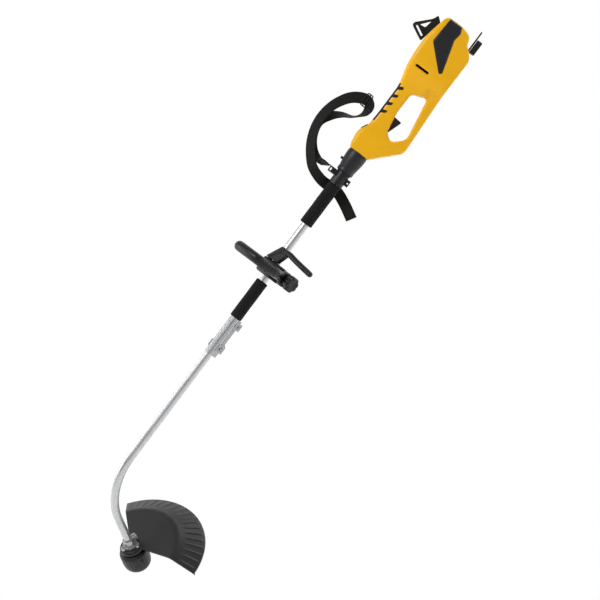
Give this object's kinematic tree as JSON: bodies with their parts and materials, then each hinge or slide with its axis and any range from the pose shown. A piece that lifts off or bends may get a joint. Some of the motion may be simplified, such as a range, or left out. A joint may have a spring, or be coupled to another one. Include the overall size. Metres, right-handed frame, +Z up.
{
  "type": "corded string trimmer",
  "caption": "Corded string trimmer: motor housing with rear handle, two-piece shaft with loop handle and strap, curved lower tube, fan-shaped guard and bump-feed spool.",
  "frame": {"origin": "middle of the strap clamp, on the shaft's axis, where the tool is carried", "axes": "+Z up with the tool in its working attitude, +X the way the motor end leans, +Y to the tool's right; the shaft points along (0.6, 0, 0.8)"},
  "size_m": [0.9686, 0.4365, 1.4674],
  "materials": {
    "yellow_plastic": "semi-gloss moulded",
    "grey_panel": "fine texture",
    "black_plastic": "satin moulded",
    "soft_grip": "overmoulded",
    "foam": "closed-cell foam",
    "webbing": "woven webbing",
    "tube_aluminium": "satin",
    "cast_aluminium": "cast, bright",
    "steel": "zinc plated",
    "laminated_steel": "laminated",
    "copper": "windings",
    "carbon": "sintered",
    "line_nylon": "nylon line"
  },
  "bodies": {
    "frame": {"housing_left": "yellow_plastic", "housing_right": "yellow_plastic", "side_panel_left": "grey_panel", "side_panel_right": "grey_panel", "grip_inlay": "soft_grip", "housing_screw_1": "steel", "housing_screw_2": "steel", "housing_screw_3": "steel", "trigger_pin": "steel", "switch": "black_plastic", "front_bearing": "steel", "rear_bearing": "steel", "stator": "laminated_steel", "brush_left": "carbon", "brush_right": "carbon", "power_inlet": "black_plastic", "strap_bracket": "black_plastic", "cord_hook": "black_plastic", "cord_clamp": "grey_panel", "upper_tube": "tube_aluminium", "upper_grip": "foam", "lower_grip": "foam", "coupling_sleeve": "grey_panel", "strap_clamp": "black_plastic", "shoulder_strap": "webbing", "connector_body": "tube_aluminium", "connector_bolt": "steel", "connector_screw": "steel"},
    "trigger": {"trigger": "grey_panel"},
    "lock_off": {"lock_off_button": "soft_grip"},
    "rotor": {"armature": "copper", "cooling_fan": "black_plastic", "drive_coupler": "steel", "upper_drive_shaft": "steel", "shaft_coupler": "steel"},
    "handle_clamp": {"handle_clamp_upper": "black_plastic", "handle_clamp_lower": "black_plastic", "handle_bolt": "steel", "barrier_bar": "black_plastic"},
    "loop": {"loop_handle": "black_plastic"},
    "loop_knob": {"handle_knob": "black_plastic"},
    "joint_knob": {"connector_knob": "black_plastic"},
    "lower_shaft": {"lower_tube": "tube_aluminium", "lower_drive": "steel", "end_flange": "cast_aluminium", "flange_bolt": "steel", "guard": "black_plastic", "line_cutter": "steel", "head_base": "black_plastic", "head_bearing": "steel", "flange_screw_1": "steel", "flange_screw_2": "steel", "flange_screw_3": "steel"},
    "spool": {"spindle": "steel", "spool_housing": "black_plastic", "line_reel": "black_plastic", "cutting_line": "line_nylon", "reel_spring": "steel"},
    "bump": {"bump_button": "black_plastic"}
  },
  "joints": [
    {"name": "trigger_squeeze", "type": "hinge", "parent": "frame", "child": "trigger", "pos_m": [0.11818, 0, 0.12924], "axis": [0, -1, 0], "range_deg": [0, 9], "stiffness_Nm_per_rad": 2, "springref_deg": -17.19},
    {"name": "lock_off_press", "type": "slide", "parent": "frame", "child": "lock_off", "axis": [0.8, 0, -0.6], "range_m": [0, 0.003], "stiffness_N_per_m": 400, "springref_m": -0.002},
    {"name": "rotor_spin", "type": "hinge", "parent": "frame", "child": "rotor", "pos_m": [0.22998, 0, 0.30664], "axis": [0.6, 0, 0.8], "continuous": true},
    {"name": "handle_turn", "type": "hinge", "parent": "frame", "child": "handle_clamp", "pos_m": [-0.17658, 0, -0.23544], "axis": [0.6, 0, 0.8], "range_deg": [-60, 30]},
    {"name": "loop_tilt", "type": "hinge", "parent": "handle_clamp", "child": "loop", "pos_m": [-0.16667, 0.01306, -0.24287], "axis": [-0.5803, 0.6884, 0.4352], "range_deg": [-30, 30]},
    {"name": "handle_knob_spin", "type": "hinge", "parent": "handle_clamp", "child": "loop_knob", "pos_m": [-0.12895, -0.03169, -0.27116], "axis": [0.5803, -0.6884, -0.4352], "continuous": true},
    {"name": "connector_knob_spin", "type": "hinge", "parent": "frame", "child": "joint_knob", "pos_m": [-0.31645, 0.02461, -0.43716], "axis": [-0.2736, 0.9397, 0.2052], "continuous": true},
    {"name": "lower_shaft_turn", "type": "hinge", "parent": "frame", "child": "lower_shaft", "pos_m": [-0.30348, 0, -0.40464], "axis": [0.6, 0, 0.8], "range_deg": [-46.5, 43.5]},
    {"name": "spool_spin", "type": "hinge", "parent": "lower_shaft", "child": "spool", "pos_m": [-0.54566, 0.16449, -0.9877], "axis": [-0.2455, -0.6574, 0.7124], "continuous": true},
    {"name": "bump_press", "type": "slide", "parent": "spool", "child": "bump", "axis": [-0.2455, -0.6574, 0.7124], "range_m": [0, 0.006], "stiffness_N_per_m": 600, "springref_m": -0.004, "deforming": ["reel_spring"]}
  ],
  "couplings": [
    {"joint": "spool_spin", "follows": "rotor_spin", "ratio": 1}
  ]
}
